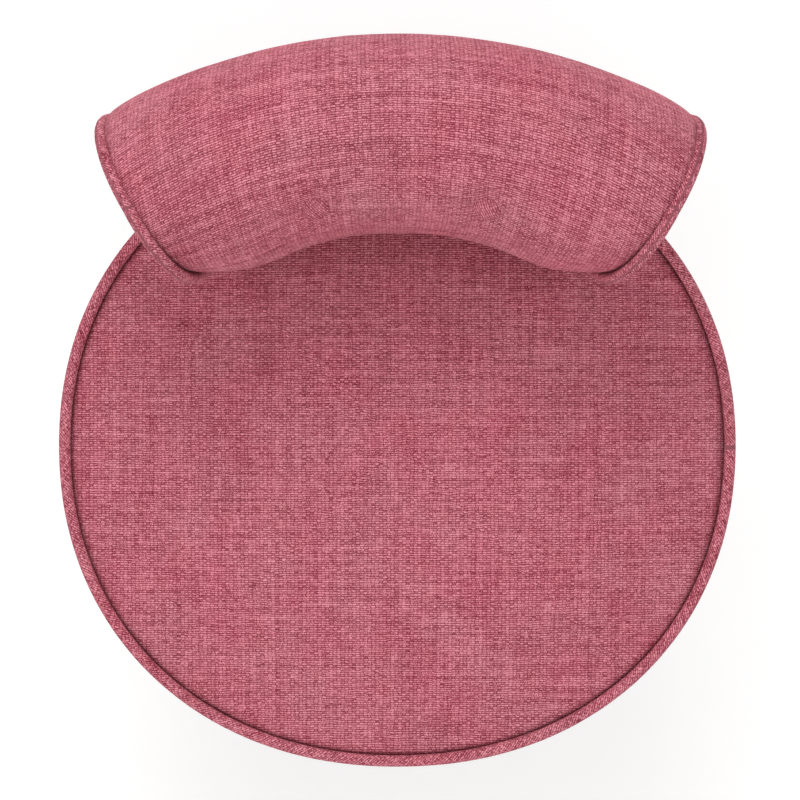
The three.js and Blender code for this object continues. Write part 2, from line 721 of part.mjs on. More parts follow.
add(base, 'base_board', baseBoard(), walnut);
add(base, 'swivel_lower_plate', lowerPlate(), steel);
add(base, 'swivel_pivot_sleeve', pivotSleeve(), steel);
['front_right', 'rear_right', 'rear_left', 'front_left'].forEach((where, i) => {
  const corner = new THREE.Group();
  corner.rotation.z = legAngles[i];
  base.add(corner);
  const socket = new THREE.Group();
  socket.position.x = LEG_TOP_RADIUS;
  corner.add(socket);
  add(socket, `leg_${where}`, leg(), walnut);
  add(socket, `leg_plate_${where}`, legPlate(), steel);
  add(socket, `hanger_bolt_${where}`, hangerBolt(), steel);
  add(corner, `glide_${where}`, glide(), glidePlastic).position.x = footReach;
});

add(bearing, 'ball_cage', ballCage(), steel);

add(seat, 'swivel_upper_plate', upperPlate(), steel);
corners(PLATE_SCREW_SPACING).forEach(([x, y], i) => {
  const where = ['rear_right', 'rear_left', 'front_left', 'front_right'][i];
  add(base, `lower_plate_screw_${where}`, panScrew(), steel).position.set(x, y, lowerPlateTop);
  const upper = add(seat, `upper_plate_screw_${where}`, panScrew(), steel);
  upper.position.set(x, y, upperPlateBottom);
  upper.rotation.x = Math.PI;
});
add(seat, 'seat_board', seatBoard(), plywood);
add(seat, 'seat_foam', seatFoam(), foam);
add(seat, 'seat_cover', seatCover(), fabric);
add(seat, 'seat_band', seatBand(), fabric);
add(seat, 'seat_welt', seatWelt(), fabric);
add(seat, 'dust_cover', dustCover(), lining);

['left', 'right'].forEach((where, i) => {
  const side = i ? 1 : -1;
  const placed = (geometry) => geometry.applyMatrix4(postPlaces[i]);
  add(back, `back_post_${where}`, placed(post()), hardwood);
  add(back, `post_bracket_${where}`, placed(bracket()), blackSteel);
  add(back, `bracket_level_bolt_${where}`, placed(levelBolt()), steel);
  add(back, `bracket_upright_bolt_${where}`, placed(uprightBolt()), steel);
  add(back, `back_end_former_${where}`, endFormer(), plywood).scale.x = side;
  add(back, `back_end_panel_${where}`, endPanel(), fabric).scale.x = side;
  add(back, `back_welt_${where}`, endWelt(), fabric).scale.x = side;
  placeButton(add(back, `back_button_${where}`, button(), fabric), side);
});
add(back, 'back_lower_rail', rail(LOWER_RAIL_RISE), plywood);
add(back, 'back_upper_rail', rail(upperRailRise), plywood);
add(back, 'back_middle_former', middleFormer(), plywood);
add(back, 'back_skin', backSkin(), card);
add(back, 'back_foam', backFoam(), foam);
add(back, 'back_cover', backCover(), fabric);

export default chair;
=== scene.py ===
# A small round swivel chair with a low curved back, upholstered all over in one rose linen cloth.
# Metres, +Z up, and the sitter faces -Y. The sections follow the chair as it is put together.
import math

import bpy
from mathutils import Matrix, Vector


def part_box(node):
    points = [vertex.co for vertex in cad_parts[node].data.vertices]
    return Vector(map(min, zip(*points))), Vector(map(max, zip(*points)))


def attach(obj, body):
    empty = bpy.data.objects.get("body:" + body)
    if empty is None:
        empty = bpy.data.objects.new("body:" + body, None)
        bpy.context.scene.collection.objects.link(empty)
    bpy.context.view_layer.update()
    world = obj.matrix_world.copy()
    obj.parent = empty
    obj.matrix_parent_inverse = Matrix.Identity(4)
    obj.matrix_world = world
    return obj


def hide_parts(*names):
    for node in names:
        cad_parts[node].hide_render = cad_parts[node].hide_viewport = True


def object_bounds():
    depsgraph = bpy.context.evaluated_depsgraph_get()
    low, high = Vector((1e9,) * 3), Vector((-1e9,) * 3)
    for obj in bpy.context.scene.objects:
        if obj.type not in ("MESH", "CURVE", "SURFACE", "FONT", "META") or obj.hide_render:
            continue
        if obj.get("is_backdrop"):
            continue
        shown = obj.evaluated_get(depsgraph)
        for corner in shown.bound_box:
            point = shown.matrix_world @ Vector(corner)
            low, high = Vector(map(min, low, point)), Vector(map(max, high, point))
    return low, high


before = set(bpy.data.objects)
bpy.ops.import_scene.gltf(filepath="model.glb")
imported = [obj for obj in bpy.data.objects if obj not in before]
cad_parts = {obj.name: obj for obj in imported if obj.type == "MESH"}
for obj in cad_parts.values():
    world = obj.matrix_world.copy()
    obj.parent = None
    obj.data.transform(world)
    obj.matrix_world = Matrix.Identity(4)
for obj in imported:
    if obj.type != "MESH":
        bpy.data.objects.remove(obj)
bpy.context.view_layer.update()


# ---- Room ----
# A white studio floor under a pale sky, with one big softbox over the rear of the chair and two
# weaker ones at the front and to the left. The camera hangs above the seat, a little to its left.

camera = bpy.data.cameras.new("overhead_camera")
camera.sensor_width = 36
camera.lens = 181.6
camera.clip_end = 60
camera_stand = bpy.data.objects.new("overhead_camera", camera)
camera_left = 0.048
camera_drop = 3.1
aim_right = 0.0017
camera_stand.location = (-camera_left, 0.006, 3.552)
camera_stand.rotation_euler = (0, -math.atan((camera_left + aim_right) / camera_drop), 0)
bpy.context.scene.collection.objects.link(camera_stand)
bpy.context.scene.camera = camera_stand
bpy.context.scene.view_settings.view_transform = "Standard"


def wire(tree, kind, inputs, **settings):
    """Adds a shader node, and gives each of its named or numbered inputs a value or a link."""
    made = tree.nodes.new(kind)
    for setting, value in settings.items():
        setattr(made, setting, value)
    for label, value in inputs.items():
        if isinstance(value, bpy.types.NodeSocket):
            tree.links.new(value, made.inputs[label])
        else:
            made.inputs[label].default_value = value
    return made


def noise(tree, place, scale, detail=2.0):
    return wire(
        tree, "ShaderNodeTexNoise", {"Vector": place, "Scale": scale, "Detail": detail}
    ).outputs["Fac"]


def new_material(name):
    """A bare material, its node tree and its output node."""
    made = bpy.data.materials.new(name)
    made.use_nodes = True
    made.node_tree.nodes.clear()
    return made, made.node_tree, made.node_tree.nodes.new("ShaderNodeOutputMaterial")


def coated(tree, out, look):
    """Ends a material in one principled surface with the given look."""
    surface = wire(tree, "ShaderNodeBsdfPrincipled", look)
    tree.links.new(surface.outputs[0], out.inputs["Surface"])


def link_object(name, data):
    made = bpy.data.objects.new(name, data)
    bpy.context.scene.collection.objects.link(made)
    return made


sky = bpy.data.worlds.new("pale_sky")
sky.use_nodes = True
sky_glow = sky.node_tree.nodes["Background"]
sky_glow.inputs["Color"].default_value = (1.0, 0.99, 0.985, 1)
sky_way = wire(sky.node_tree, "ShaderNodeSeparateXYZ", {
    0: wire(sky.node_tree, "ShaderNodeTexCoord", {}).outputs["Generated"]}).outputs["Y"]
sky_strength = wire(
    sky.node_tree, "ShaderNodeMapRange", {0: sky_way, 1: -0.8, 2: 0.8, 3: 0.60, 4: 0.70},
).outputs[0]
sky.node_tree.links.new(sky_strength, sky_glow.inputs["Strength"])
bpy.context.scene.world = sky


def softbox(name, place, target, side, power):
    lamp = bpy.data.lights.new(name, "AREA")
    lamp.size = side
    lamp.energy = power
    stand = link_object(name, lamp)
    stand.location = place
    stand.rotation_euler = (Vector(target) - Vector(place)).to_track_quat("-Z", "Y").to_euler()
    stand.visible_camera = False


lit_spot = (0, 0, 0.4)
softbox("rear_softbox", (-0.25, 2.2, 2.6), lit_spot, 1.5, 32)
softbox("front_softbox", (0.1, -1.9, 2.6), lit_spot, 1.6, 19)
softbox("left_softbox", (-2.3, -0.4, 2.1), lit_spot, 1.2, 8)

paper, paper_tree, paper_out = new_material("white_floor_paper")
coated(
    paper_tree, paper_out,
    {
        "Base Color": wire(
            paper_tree, "ShaderNodeMix",
            {
                0: noise(paper_tree, wire(paper_tree, "ShaderNodeTexCoord", {}).outputs["Object"], 3),
                6: (0.93, 0.93, 0.93, 1),
                7: (0.96, 0.96, 0.96, 1),
            },
            data_type="RGBA",
        ).outputs[2],
        "Roughness": 0.9,
        "Emission Color": (1, 1, 1, 1),
        "Emission Strength": 0.2,
    },
)
floor_mesh = bpy.data.meshes.new("floor")
floor_mesh.from_pydata([(-9, -9, 0), (9, -9, 0), (9, 9, 0), (-9, 9, 0)], [], [(0, 1, 2, 3)])
floor_mesh.materials.append(paper)
link_object("floor", floor_mesh)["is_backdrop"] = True


# ---- Seat top ----
# The seat's top panel: one round of slubbed rose linen, drawn over crowned foam and sewn to the
# welt all round its rim. Slits near the rear edge, under the back, let the back's posts through.

welt_low, welt_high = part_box("seat_welt")
axis_y = (welt_low.y + welt_high.y) / 2
seat_half_width = (welt_high.x - welt_low.x) / 2
seat_half_depth = (welt_high.y - welt_low.y) / 2
welt_level = (welt_low.z + welt_high.z) / 2
seat_squareness = 2.125
crown = 0.026
crown_power = 5
welt_thickness = 0.009
cloth_thickness = 0.0016
panel_radius = seat_half_width - welt_thickness - 0.0003
sewn_radius = panel_radius + 0.0022


def calc(tree, operation, *values):
    return wire(tree, "ShaderNodeMath", dict(enumerate(values)), operation=operation).outputs[0]


def shaded(tree, start, *parts):
    """A value, plus each mask's distance from its middle times that mask's weight."""
    for mask, weight in parts:
        start = calc(tree, "MULTIPLY_ADD", calc(tree, "SUBTRACT", mask, 0.5), weight, start)
    return start


def blended(tree, share, low, high):
    return wire(
        tree, "ShaderNodeMix", {0: share, 6: low, 7: high}, data_type="RGBA", clamp_factor=True
    ).outputs[2]


def bump(tree, height, distance, strength):
    return wire(
        tree, "ShaderNodeBump", {"Height": height, "Distance": distance, "Strength": strength}
    ).outputs[0]


def shader_group(name, takes, gives):
    """A node group with named sockets, and its own input and output sockets."""
    tree = bpy.data.node_groups.new(name, "ShaderNodeTree")
    for label, kind in takes.items():
        tree.interface.new_socket(label, in_out="INPUT", socket_type="NodeSocket" + kind)
    for label, kind in gives.items():
        tree.interface.new_socket(label, in_out="OUTPUT", socket_type="NodeSocket" + kind)
    return tree, tree.nodes.new("NodeGroupInput").outputs, tree.nodes.new("NodeGroupOutput").inputs


weave, weave_in, weave_out = shader_group(
    "slubbed plain weave",
    {
        "Cloth": "Vector", "Weft pitch": "Float", "Warp pitch": "Float", "Slub": "Float",
        "Mottle": "Float", "Seam": "Float", "Dark": "Color", "Middle": "Color", "Pale": "Color",
    },
    {"Color": "Color", "Height": "Float", "Gap": "Float"},
)
cloth_place = wire(weave, "ShaderNodeSeparateXYZ", {0: weave_in["Cloth"]}).outputs
wander = wire(
    weave, "ShaderNodeTexNoise", {"Vector": weave_in["Cloth"], "Scale": 70.0, "Detail": 3.0})
wander = wire(weave, "ShaderNodeSeparateXYZ", {0: wander.outputs["Color"]}).outputs
across = calc(weave, "DIVIDE", shaded(weave, cloth_place["X"], (wander["X"], 0.0024)),
              weave_in["Warp pitch"])
along = calc(weave, "DIVIDE", shaded(weave, cloth_place["Y"], (wander["Y"], 0.0020)),
             weave_in["Weft pitch"])
warp_number = calc(weave, "FLOOR", across)
weft_number = calc(weave, "FLOOR", along)
weft_over = calc(weave, "PINGPONG", calc(weave, "ADD", warp_number, weft_number), 1.0)
warp_belly = calc(weave, "SINE", calc(weave, "MULTIPLY", calc(weave, "FRACT", across), math.pi))
weft_belly = calc(weave, "SINE", calc(weave, "MULTIPLY", calc(weave, "FRACT", along), math.pi))


def thread_height(belly, roundness, crossing, dip, top):
    """A thread's own round back, and how far it dips toward the threads that it crosses."""
    bent = calc(weave, "MULTIPLY_ADD", crossing, dip, top - dip)
    return calc(weave, "MULTIPLY", calc(weave, "POWER", belly, roundness), bent)


def either(share, low, high):
    return wire(weave, "ShaderNodeMix", {0: share, 2: low, 3: high}).outputs[0]


def thread_tone(length, number, seed):
    """Changes slowly along a thread, and isn't related to the next thread's."""
    place = wire(weave, "ShaderNodeCombineXYZ", {
        0: calc(weave, "MULTIPLY", length, 210.0),
        1: calc(weave, "MULTIPLY", number, 1.7),
        2: seed,
    })
    return noise(weave, place.outputs[0], 1.0, 3.0)


def streaks(x_scale, y_scale, seed):
    place = wire(weave, "ShaderNodeVectorMath", {0: weave_in["Cloth"], 1: (x_scale, y_scale, 1)},
                 operation="MULTIPLY")
    place = wire(weave, "ShaderNodeVectorMath", {0: place.outputs[0], 1: (seed, seed, seed)},
                 operation="ADD")
    return noise(weave, place.outputs[0], 1.0, 2.0)


height = either(
    weft_over,
    thread_height(warp_belly, 0.3, weft_belly, 0.6, 0.85),
    thread_height(weft_belly, 0.8, warp_belly, 0.2, 1.0),
)
tone = either(
    weft_over,
    thread_tone(cloth_place["Y"], warp_number, 5.0),
    thread_tone(cloth_place["X"], weft_number, 9.0),
)
fuzz = noise(weave, weave_in["Cloth"], 1250.0, 2.0)
streaky = shaded(
    weave, 0.0, (streaks(11.0, 210.0, 3.0), 1.0), (streaks(13.0, 560.0, 5.0), 1.5),
    (streaks(150.0, 9.0, 7.0), 0.8), (streaks(330.0, 12.0, 8.0), 0.8))
cloudy = shaded(weave, 0.0, (noise(weave, weave_in["Cloth"], 26.0, 3.0), 1.0))
# Painted shade: the threads' height also goes into their colour, darker in the gaps between threads and
# paler on their crowns. Tone, fuzz, slubs and mottle are the yarns' own colour.
depth = shaded(weave, 0.42, (height, 0.95), (weft_over, 0.04), (tone, 1.45), (fuzz, 2.5))
depth = calc(weave, "MULTIPLY_ADD", streaky, weave_in["Slub"], depth)
depth = calc(weave, "MULTIPLY_ADD", cloudy, weave_in["Mottle"], depth)
yarn = blended(
    weave, calc(weave, "MULTIPLY_ADD", depth, 2.0, -1.0),
    blended(weave, calc(weave, "MULTIPLY", depth, 2.0), weave_in["Dark"], weave_in["Middle"]),
    weave_in["Pale"],
)
# Painted shade: the seam input darkens the yarn toward a deeper copy of the dark colour, in the folds
# beside seams.
painted_fold_shade = wire(weave, "ShaderNodeVectorMath", {0: weave_in["Dark"], 1: (0.7, 0.7, 0.7)},
            operation="MULTIPLY").outputs[0]
yarn = blended(weave, calc(weave, "MULTIPLY", weave_in["Seam"], 0.8), yarn, painted_fold_shade)
yarn = wire(weave, "ShaderNodeHueSaturation", {
    "Hue": shaded(weave, 0.5, (noise(weave, weave_in["Cloth"], 31.0, 3.0), 0.012)),
    "Saturation": shaded(weave, 1.03, (noise(weave, weave_in["Cloth"], 19.0, 3.0), 0.22)),
    "Color": yarn,
}).outputs[0]
weave.links.new(yarn, weave_out["Color"])
weave.links.new(shaded(weave, height, (tone, 0.7), (fuzz, 0.3)), weave_out["Height"])
weave.links.new(calc(weave, "LESS_THAN", height, 0.35), weave_out["Gap"])

linen, linen_tree, linen_out = new_material("rose_slub_linen")
linen_weave = wire(
    linen_tree, "ShaderNodeGroup",
    {
        "Cloth": wire(linen_tree, "ShaderNodeAttribute", {}, attribute_name="cloth").outputs["Vector"],
        # Painted shade in the folds beside seams, read from the mesh.
        "Seam": wire(linen_tree, "ShaderNodeAttribute", {}, attribute_name="painted_seam_shade").outputs["Fac"],
        "Weft pitch": 0.00173,
        "Warp pitch": 0.00293,
        "Slub": 0.40,
        "Mottle": 0.16,
        "Dark": (0.190, 0.026, 0.044, 1),
        "Middle": (0.490, 0.122, 0.163, 1),
        "Pale": (0.860, 0.345, 0.405, 1),
    },
    node_tree=weave,
).outputs
coated(
    linen_tree, linen_out,
    {
        "Base Color": linen_weave["Color"],
        "Roughness": calc(linen_tree, "MULTIPLY_ADD", linen_weave["Gap"], 0.08, 0.86),
        "Specular IOR Level": 0.12,
        "Sheen Weight": 0.05,
        "Sheen Roughness": 0.5,
        "Sheen Tint": (1.0, 0.72, 0.78, 1),
        "Normal": bump(linen_tree, linen_weave["Height"], 0.0006, 0.8),
    },
)


def seat_reach(angle):
    across = abs(math.cos(angle) / seat_half_width) ** seat_squareness
    along = abs(math.sin(angle) / seat_half_depth) ** seat_squareness
    return (across + along) ** (-1 / seat_squareness)


def on_seat(radius, angle, level):
    """A point at a radius measured along +X, stretched to the seat's outline."""
    reach = radius * seat_reach(angle) / seat_half_width
    return Vector((reach * math.cos(angle), axis_y + reach * math.sin(angle), level))


def disc(steps):
    """(share of the radius, angle) pairs of a square grid bent into a disc, and its faces."""
    spots = []
    for j in range(steps + 1):
        for i in range(steps + 1):
            a = 2 * i / steps - 1
            b = 2 * j / steps - 1
            if abs(a) > abs(b):
                share, angle = a, math.pi / 4 * b / a
            else:
                share, angle = b, math.pi / 2 - math.pi / 4 * (a / b if b else 0)
            spots.append((abs(share), angle if share >= 0 else angle + math.pi))
    row = steps + 1
    faces = [
        (k, k + 1, k + row + 1, k + row)
        for k in range(row * steps)
        if k % row < steps
    ]
    return spots, faces


def strip(rows, columns, closed=False):
    """Faces of a grid whose spots run along each row in turn; closed joins each row's ends."""
    return [
        (j * columns + i, j * columns + (i + 1) % columns,
         (j + 1) * columns + (i + 1) % columns, (j + 1) * columns + i)
        for j in range(rows - 1)
        for i in range(columns if closed else columns - 1)
    ]


def cloth_piece(name, spots, faces):
    """A mesh from (place, place in the weave, painted seam shade) spots. The painted shade, from 0 to 1,
    darkens the cloth in the fold beside a seam, where shade falls."""
    mesh = bpy.data.meshes.new(name)
    mesh.from_pydata([spot[0] for spot in spots], [], faces)
    mesh.attributes.new("cloth", "FLOAT_VECTOR", "POINT").data.foreach_set(
        "vector", [value for spot in spots for value in spot[1]])
    mesh.attributes.new("painted_seam_shade", "FLOAT", "POINT").data.foreach_set(
        "value", [spot[2] for spot in spots])
    mesh.shade_smooth()
    return link_object(name, mesh)


def thicken(piece, thickness):
    """Gives a cloth its thickness on the inside, and rounds it by one more subdivision."""
    rounded = piece.modifiers.new("rounded", "SUBSURF")
    rounded.render_levels = 1
    rounded.levels = 1
    shell = piece.modifiers.new("cloth thickness", "SOLIDIFY")
    shell.thickness = thickness
    shell.offset = -1


def settle(piece, held, limit, pressure):
    """The cover pressed out by the foam: a short cloth simulation, kept near the cut shape."""
    rest = [vertex.co.copy() for vertex in piece.data.vertices]
    piece.vertex_groups.new(name="sewn edge").add(held, 1.0, "REPLACE")
    cloth = piece.modifiers.new("Cloth", "CLOTH")
    cloth.settings.vertex_group_mass = "sewn edge"
    cloth.settings.use_pressure = True
    cloth.settings.uniform_pressure_force = pressure
    cloth.settings.effector_weights.gravity = 0
    cloth.settings.quality = 6
    cloth.collision_settings.use_collision = False
    cloth.point_cache.frame_start = 1
    cloth.point_cache.frame_end = 20
    for moment in range(1, 21):
        bpy.context.scene.frame_set(moment)
    swollen = piece.evaluated_get(bpy.context.evaluated_depsgraph_get()).data
    moved = [after.co - before for after, before in zip(swollen.vertices, rest)]
    piece.modifiers.remove(cloth)
    for vertex, before, move in zip(piece.data.vertices, rest, moved):
        vertex.co = before + move * min(1.0, limit / max(move.length, 1e-9))
    bpy.context.scene.frame_set(1)


def fit(piece, material, body, slot, *nodes):
    """Puts a finish on a piece, hangs it on the body it rides on, and hides the solids it stands in for.
    """
    piece.data.materials.append(material)
    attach(piece, body)
    if nodes:
        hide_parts(*nodes)
    return piece


post_boxes = [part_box("back_post_" + side) for side in ("left", "right")]


def in_post_slit(place, room):
    return any(
        low.x - room < place.x < high.x + room and low.y - room < place.y < high.y + room
        for low, high in post_boxes
    )


def face_middle(spots, face):
    return sum((spots[k][0] for k in face), Vector()) / 4


def seat_level(share):
    """Height of the top panel: a flat crown that falls away to its sewn edge under the welt."""
    edge = (1 - share) * sewn_radius
    fall = min(1.0, share * sewn_radius / panel_radius)
    return welt_level + crown * (1 - fall ** crown_power) - 0.0048 * math.exp(-edge / 0.0026)


top_spots, top_faces = disc(128)
top_spots = [(1 - (1 - share) ** 1.35, angle) for share, angle in top_spots]
top_cloth = []
for share, angle in top_spots:
    edge = (1 - share) * sewn_radius
    pucker = 0.00025 * math.sin(angle * 175) * math.exp(-edge / 0.007)
    place = on_seat(share * sewn_radius, angle, seat_level(share) + pucker)
    # Painted shade: the panel darkens toward its sewn edge, in the fold under the welt.
    top_cloth.append((place, (place.x, place.y, 0.0), math.exp(-(edge / 0.0042) ** 2)))
top_faces = [
    face for face in top_faces
    if not in_post_slit(face_middle(top_cloth, face), 0.004)
]
seat_top = cloth_piece("seat_top_panel", top_cloth, top_faces)
settle(seat_top, [k for k, (share, _) in enumerate(top_spots) if share > 0.985], 0.003, 2.0)
thicken(seat_top, cloth_thickness)
fit(seat_top, linen, "seat", "rose_fabric", "seat_cover", "seat_foam")


# ---- Seat welt ----
# Piping cord covered with a bias strip of the same linen, sewn between the top panel and the side
# band. The lap of the strip's ends isn't modelled: its weave starts and ends at the +X side.


def tube(name, centres, outwards, radius, flange, sides=14):
    """A covered cord round a closed line, from the ways that point outward across the cord.
    flange is the turn round the cord, from outward, where its strip is sewn in."""
    spots = []
    length = 0.0
    count = len(centres)
    for k, (centre, outward) in enumerate(zip(centres, outwards)):
        ahead = (centres[(k + 1) % count] - centres[k - 1]).normalized()
        side = (outward - ahead * outward.dot(ahead)).normalized()
        up = side.cross(ahead)
        for j in range(sides):
            turn = 2 * math.pi * j / sides
            bias = Vector((length + turn * radius, length - turn * radius, 0.4)) * math.sqrt(0.5)
            # Painted shade: the cord darkens on the side toward its flange, where it meets the cloth it
            # is sewn to.
            sewn = max(0.0, math.cos(turn - flange) - 0.6) * 2.0
            spots.append((
                centre + (side * math.cos(turn) + up * math.sin(turn)) * radius,
                bias, sewn))
        length += (centres[(k + 1) % count] - centre).length
    faces = strip(count, sides, closed=True)
    faces += [
        ((count - 1) * sides + j, (count - 1) * sides + (j + 1) % sides, (j + 1) % sides, j)
        for j in range(sides)
    ]
    return cloth_piece(name, spots, faces)


welt_line = []
welt_out = []
for step in range(480):
    angle = 2 * math.pi * step / 480
    welt_line.append(on_seat(
        seat_half_width - welt_thickness / 2, angle,
        welt_level + 0.0003 * math.sin(angle * 23 + 1.0) + 0.0002 * math.sin(angle * 61)))
    outward = welt_line[-1] - Vector((0, axis_y, welt_level))
    welt_out.append(outward.normalized())
seat_welt = tube(
    "seat_welt_cord", welt_line, welt_out, welt_thickness / 2, flange=math.radians(-140))
fit(seat_welt, linen, "seat", "rose_fabric", "seat_welt")


# ---- Seat side band ----
# A straight strip of the linen round the foam and the board's edge, sewn to the welt above, drawn
# down and stapled under the board. Its ends meet in one upright seam at the rear, but its weave
# starts and ends at the +X side, and leaves a faint line there.

band_low, band_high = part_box("seat_band")
band_radius = (band_high.x - band_low.x) / 2
band_rows = 22
band_columns = 400
band_cloth = []
for row in range(band_rows + 1):
    fall = row / band_rows
    for column in range(band_columns):
        angle = 2 * math.pi * column / band_columns
        level = band_high.z + (band_low.z - band_high.z) * fall
        from_seam = abs((angle - math.pi / 2 + math.pi) % (2 * math.pi) - math.pi) * band_radius
        groove = math.exp(-(from_seam / 0.0022) ** 2)
        swell = 0.0014 * math.sin(math.pi * fall) - 0.0016 * math.exp(-fall * 9)
        ripple = 0.0003 * math.sin(angle * 150) * math.exp(-fall * 7)
        tuck = 0.0028 * max(0.0, (fall - 0.94) / 0.06) ** 2
        place = on_seat(band_radius - 0.0006 + swell + ripple - tuck - 0.0012 * groove, angle, level)
        run = angle * (seat_half_width + seat_half_depth) / 2
        # Painted shade: the band darkens under the welt, at its tuck under the board and along the groove
        # of its rear seam.
        shade = max(groove, math.exp(-fall * 26), 0.5 * math.exp(-(1 - fall) * 30))
        band_cloth.append((place, (run, level, 0.7), shade))
band_faces = [tuple(reversed(face)) for face in strip(band_rows + 1, band_columns, closed=True)]
side_band = cloth_piece("seat_side_band", band_cloth, band_faces)
thicken(side_band, cloth_thickness)
fit(side_band, linen, "seat", "rose_fabric", "seat_band")


# ---- Dust cover ----
# A round of thin black felted cloth under the seat, cut out round the swivel. Its edge is folded in
# and held to the board by a ring of wire staples.

felt, felt_tree, felt_out = new_material("black_felted_lining")
felt_place = wire(felt_tree, "ShaderNodeTexCoord", {}).outputs["Object"]
felt_dots = wire(felt_tree, "ShaderNodeTexVoronoi", {"Vector": felt_place, "Scale": 420.0})
felt_fibre = noise(felt_tree, felt_place, 900.0, 4.0)
coated(
    felt_tree, felt_out,
    {
        "Base Color": blended(
            felt_tree, shaded(felt_tree, 0.4, (felt_fibre, 1.4), (noise(felt_tree, felt_place, 14), 0.8)),
            (0.010, 0.010, 0.011, 1), (0.034, 0.033, 0.034, 1)),
        "Roughness": calc(felt_tree, "MULTIPLY_ADD", felt_fibre, 0.2, 0.78),
        "Normal": bump(felt_tree, felt_dots.outputs["Distance"], 0.0004, 0.6),
    },
)

lining_low, lining_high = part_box("dust_cover")
lining_radius = (lining_high.x - lining_low.x) / 2
lining_hole = 0.136
lining_rows = 16
lining_columns = 180
lining_spots = []
for row in range(lining_rows + 1):
    reach = row / lining_rows
    for column in range(lining_columns):
        angle = 2 * math.pi * column / lining_columns
        radius = lining_hole + (lining_radius - lining_hole) * reach
        slack = math.sin(math.pi * reach) * (math.sin(angle * 9 + 1) + 0.6 * math.sin(angle * 23)) * 0.5
        hem = 0.00035 * math.exp(-((reach - 0.86) / 0.03) ** 2)
        place = on_seat(radius, angle, lining_high.z - 0.0004 + 0.00035 * slack - hem)
        lining_spots.append((place, (place.x, place.y, 0.0), 0.0))
dust_cover = cloth_piece(
    "dust_cover_cloth", lining_spots, strip(lining_rows + 1, lining_columns, closed=True))
thicken(dust_cover, 0.0005)
fit(dust_cover, felt, "seat", "dust_cloth", "dust_cover")


def steel_group():
    """Bright or dark plated steel: small crystals, fine scratches and dull patches."""
    tree, takes, gives = shader_group(
        "plated steel",
        {"Vector": "Vector", "Crystal": "Float", "Wear": "Float", "Dark": "Color", "Bright": "Color"},
        {"Color": "Color", "Roughness": "Float", "Height": "Float"},
    )
    crystals = wire(
        tree, "ShaderNodeTexVoronoi", {"Vector": takes["Vector"], "Scale": takes["Crystal"]})
    crystal = wire(tree, "ShaderNodeSeparateXYZ", {0: crystals.outputs["Color"]}).outputs["X"]
    patches = noise(tree, takes["Vector"], 55.0, 4.0)
    rubbed = wire(
        tree, "ShaderNodeVectorMath", {0: takes["Vector"], 1: (1900.0, 60.0, 500.0)},
        operation="MULTIPLY").outputs[0]
    scratches = noise(tree, rubbed, 1.0, 2.0)
    shade = shaded(tree, 0.5, (crystal, 0.5), (patches, 1.3), (scratches, 0.6))
    tree.links.new(blended(tree, shade, takes["Dark"], takes["Bright"]), gives["Color"])
    worn = calc(tree, "MULTIPLY", shaded(tree, 0.0, (patches, 1.0), (scratches, 0.8)), takes["Wear"])
    tree.links.new(calc(tree, "ADD", worn, 0.36), gives["Roughness"])
    tree.links.new(shaded(tree, 0.5, (scratches, 0.6), (patches, 0.8)), gives["Height"])
    return tree


plated = steel_group()


def steel_finish(name, crystal, wear, dark, bright, metallic=1.0, coat=0.0):
    made, tree, out = new_material(name)
    look = wire(
        tree, "ShaderNodeGroup",
        {
            "Vector": wire(tree, "ShaderNodeTexCoord", {}).outputs["Object"],
            "Crystal": crystal, "Wear": wear, "Dark": dark, "Bright": bright,
        },
        node_tree=plated,
    ).outputs
    coated(
        tree, out,
        {
            "Base Color": look["Color"], "Roughness": look["Roughness"], "Metallic": metallic,
            "Coat Weight": coat,
            "Normal": bump(tree, look["Height"], 0.0002, 0.5),
        },
    )
    return made


zinc = steel_finish(
    "zinc_plated_steel", 420.0, 0.35, (0.36, 0.37, 0.39, 1), (0.62, 0.63, 0.64, 1))

staple_count = 44
staple_half = 0.005
wire_half = 0.0006
wire_depth = 0.0009
staple_spots = []
staple_faces = []
for k in range(staple_count):
    angle = 2 * math.pi * (k + 0.5) / staple_count
    middle = on_seat(lining_radius - 0.011, angle, lining_low.z - 0.0002)
    run = (on_seat(lining_radius, angle + 0.01, 0) - on_seat(lining_radius, angle - 0.01, 0)).normalized()
    run = (run + Vector((run.y, -run.x, 0)) * 0.12 * math.sin(k * 2.3)).normalized()
    out = Vector((run.y, -run.x, 0))
    for end, leg in ((-1, 1), (-0.86, 0), (0.86, 0), (1, 1)):
        for side, lower in ((-1, 0), (1, 0), (1, 1), (-1, 1)):
            level = 0.0008 * leg - 0.0007 * (1 - lower) + wire_depth * 0.4 * lower
            staple_spots.append(
                middle + run * staple_half * end + out * wire_half * side + Vector((0, 0, level)))
    start = k * 16
    for j in range(3):
        for i in range(4):
            a, b = start + j * 4 + i, start + j * 4 + (i + 1) % 4
            staple_faces.append((a, a + 4, b + 4, b))
    staple_faces.append((start, start + 1, start + 2, start + 3))
    staple_faces.append((start + 15, start + 14, start + 13, start + 12))
staple_mesh = bpy.data.meshes.new("dust_cover_staples")
staple_mesh.from_pydata(staple_spots, [], staple_faces)
fit(link_object("dust_cover_staples", staple_mesh), zinc, "seat", "zinc_steel")


# ---- Back cover ----
# One sleeve of the linen over the back's foam: up the outer face, over the crest, down the inner
# face and closed underneath. The foam swells it toward the sitter; the end welts draw it in again.

cover_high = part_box("back_cover")[1]
arc_radius = 0.360
back_half = 0.074
arc_centre_y = cover_high.y - arc_radius - back_half
crest_rise = cover_high.z - welt_level
shoulder_rise = crest_rise - back_half
lower_half = shoulder_rise - 0.005
lower_squareness = 3.2
end_angle = math.radians(30.5)
end_lean = math.tan(math.radians(15))
seat_to_back = 0.0015
button_spacing = 0.124
button_slope = math.radians(135)
sleeve_end = welt_thickness - 0.0020


